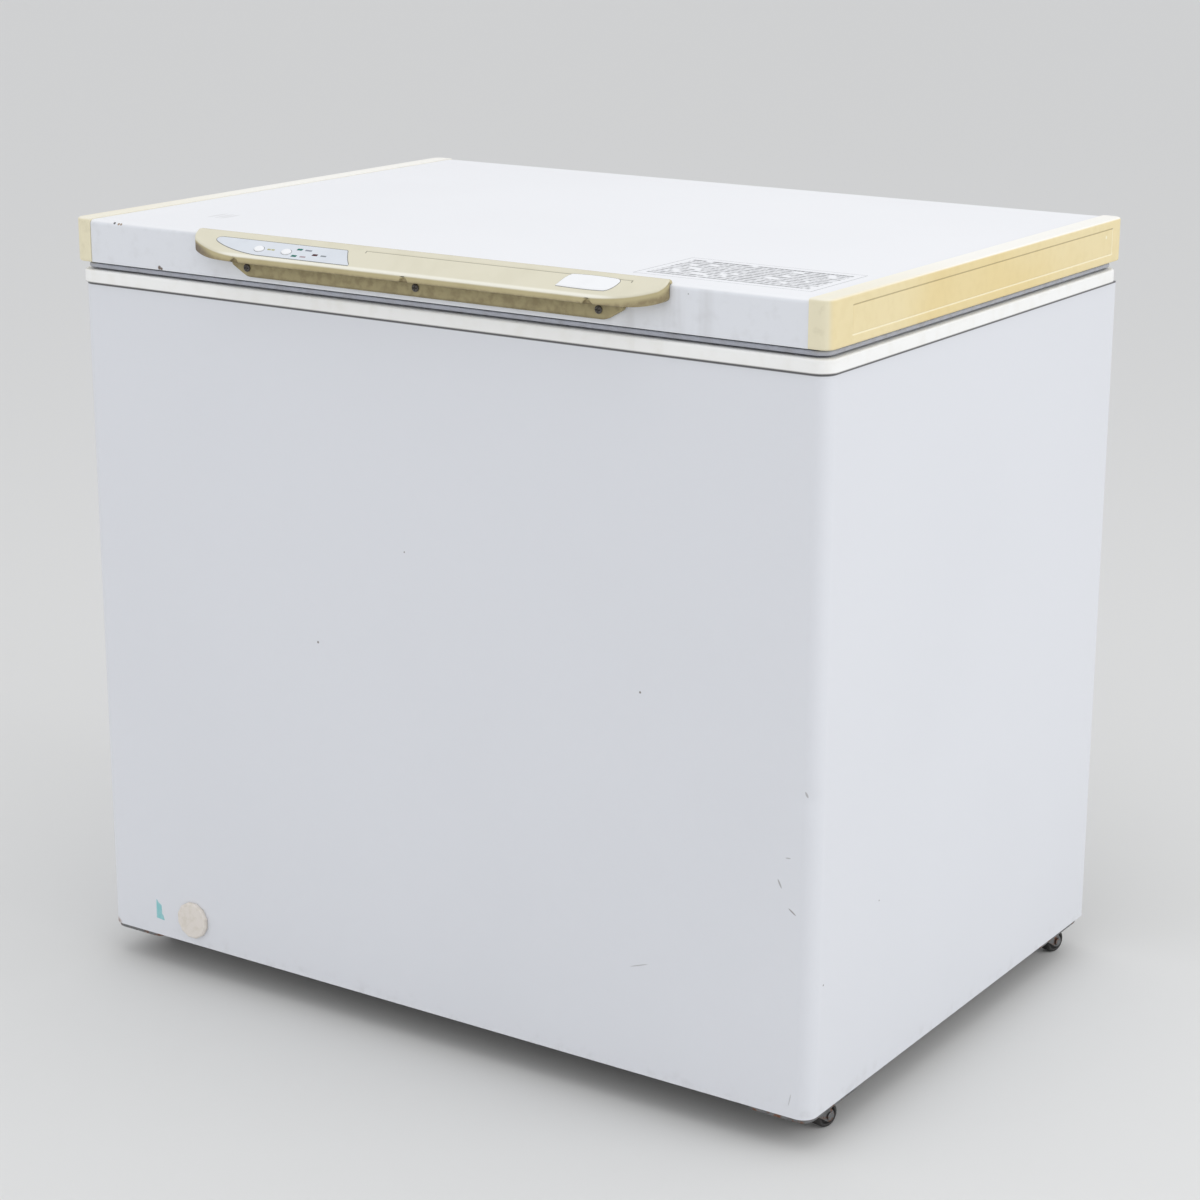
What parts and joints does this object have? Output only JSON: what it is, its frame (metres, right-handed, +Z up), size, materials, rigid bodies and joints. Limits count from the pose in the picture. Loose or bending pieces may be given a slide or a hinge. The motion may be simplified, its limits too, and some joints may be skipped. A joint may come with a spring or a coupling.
{
  "type": "chest freezer",
  "caption": "Free-standing chest freezer on casters: hinged lid with a front grip bar that holds the controls, inner tub with a raised floor, lift-out basket, drain.",
  "frame": {"origin": "on the floor, under the middle of the whole object's outline", "axes": "+X to the right as seen from the front, front towards -Y, +Z up"},
  "size_m": [0.962, 0.7164, 0.8825],
  "materials": {
    "enamel": "satin",
    "lid_enamel": "satin",
    "white_plastic": "satin",
    "aged_plastic": "satin",
    "grip_plastic": "satin",
    "overlay_film": "satin",
    "button_plastic": "gloss",
    "green_lens": "gloss",
    "red_lens": "gloss",
    "seal_rubber": "matte",
    "foam": "matte",
    "tub": "satin",
    "basket_wire": "satin",
    "zinc": "satin",
    "black_steel": "gloss",
    "copper": "satin",
    "dark_plastic": "matte",
    "wheel_rubber": "matte",
    "circuit_board": "satin"
  },
  "bodies": {
    "cabinet": {"cabinet_wrap": "enamel", "rear_panel": "zinc", "rear_grille": "dark_plastic", "base_pan": "zinc", "cabinet_foam": "foam", "top_trim": "white_plastic", "tub_liner": "tub", "drain_pipe": "white_plastic", "compressor": "black_steel", "starter_box": "dark_plastic", "filter_drier": "copper", "suction_pipe": "copper", "discharge_pipe": "copper", "evaporator_tube": "copper", "condenser_tube": "copper", "cord_inlet": "dark_plastic", "hinge_base_left": "zinc", "hinge_base_right": "zinc", "hinge_pin_left": "zinc", "hinge_pin_right": "zinc", "caster_plate_front_left": "zinc", "caster_plate_front_right": "zinc", "caster_plate_rear_left": "zinc", "caster_plate_rear_right": "zinc"},
    "lid": {"lid_skin": "lid_enamel", "lid_foam": "foam", "lid_liner": "tub", "lid_gasket": "seal_rubber", "lid_cap_right": "aged_plastic", "lid_cap_left": "aged_plastic", "grip_cover": "grip_plastic", "grip_base": "grip_plastic", "control_overlay": "overlay_film", "control_board": "circuit_board", "badge_plate": "button_plastic", "run_lamp": "green_lens", "fast_freeze_lamp": "green_lens", "warning_lamp": "red_lens", "grip_screw_left": "zinc", "grip_screw_middle": "zinc", "grip_screw_right": "zinc", "hinge_arm_left": "zinc", "hinge_arm_right": "zinc"},
    "power_button": {"power_button": "button_plastic"},
    "fast_freeze_button": {"fast_freeze_button": "button_plastic"},
    "basket": {"basket": "basket_wire"},
    "drain_cap": {"drain_cap": "grip_plastic"},
    "drain_plug": {"drain_plug": "seal_rubber"},
    "swivel_front_left": {"caster_fork_front_left": "zinc", "caster_axle_front_left": "zinc"},
    "swivel_front_right": {"caster_fork_front_right": "zinc", "caster_axle_front_right": "zinc"},
    "swivel_rear_left": {"caster_fork_rear_left": "zinc", "caster_axle_rear_left": "zinc"},
    "swivel_rear_right": {"caster_fork_rear_right": "zinc", "caster_axle_rear_right": "zinc"},
    "wheel_front_left": {"caster_wheel_front_left": "wheel_rubber"},
    "wheel_front_right": {"caster_wheel_front_right": "wheel_rubber"},
    "wheel_rear_left": {"caster_wheel_rear_left": "wheel_rubber"},
    "wheel_rear_right": {"caster_wheel_rear_right": "wheel_rubber"}
  },
  "joints": [
    {"name": "lid_hinge", "type": "hinge", "parent": "cabinet", "child": "lid", "pos_m": [0, 0.35125, 0.827], "axis": [-1, 0, 0], "range_deg": [0, 85]},
    {"name": "power_press", "type": "slide", "parent": "lid", "child": "power_button", "axis": [0, 0.5736, -0.8192], "range_m": [0, 0.001], "stiffness_N_per_m": 300},
    {"name": "fast_freeze_press", "type": "slide", "parent": "lid", "child": "fast_freeze_button", "axis": [0, 0.5736, -0.8192], "range_m": [0, 0.001], "stiffness_N_per_m": 300},
    {"name": "basket_lift", "type": "slide", "parent": "cabinet", "child": "basket", "axis": [0, 0, 1], "range_m": [0, 0.24]},
    {"name": "drain_cap_pull", "type": "slide", "parent": "cabinet", "child": "drain_cap", "axis": [0, -1, 0], "range_m": [0, 0.03]},
    {"name": "drain_plug_lift", "type": "slide", "parent": "cabinet", "child": "drain_plug", "axis": [0, 0, 1], "range_m": [0, 0.03]},
    {"name": "swivel_front_left_turn", "type": "hinge", "parent": "cabinet", "child": "swivel_front_left", "pos_m": [-0.448, -0.27375, 0.033], "axis": [0, 0, 1], "continuous": true},
    {"name": "swivel_front_right_turn", "type": "hinge", "parent": "cabinet", "child": "swivel_front_right", "pos_m": [0.448, -0.27375, 0.033], "axis": [0, 0, 1], "continuous": true},
    {"name": "swivel_rear_left_turn", "type": "hinge", "parent": "cabinet", "child": "swivel_rear_left", "pos_m": [-0.448, 0.28425, 0.033], "axis": [0, 0, 1], "continuous": true},
    {"name": "swivel_rear_right_turn", "type": "hinge", "parent": "cabinet", "child": "swivel_rear_right", "pos_m": [0.448, 0.28425, 0.033], "axis": [0, 0, 1], "continuous": true},
    {"name": "wheel_front_left_spin", "type": "hinge", "parent": "swivel_front_left", "child": "wheel_front_left", "pos_m": [-0.44282, -0.25443, 0.014], "axis": [-0.9659, 0.2588, 0], "continuous": true},
    {"name": "wheel_front_right_spin", "type": "hinge", "parent": "swivel_front_right", "child": "wheel_front_right", "pos_m": [0.45318, -0.25443, 0.014], "axis": [-0.9659, 0.2588, 0], "continuous": true},
    {"name": "wheel_rear_left_spin", "type": "hinge", "parent": "swivel_rear_left", "child": "wheel_rear_left", "pos_m": [-0.44282, 0.30357, 0.014], "axis": [-0.9659, 0.2588, 0], "continuous": true},
    {"name": "wheel_rear_right_spin", "type": "hinge", "parent": "swivel_rear_right", "child": "wheel_rear_right", "pos_m": [0.45318, 0.30357, 0.014], "axis": [-0.9659, 0.2588, 0], "continuous": true}
  ]
}
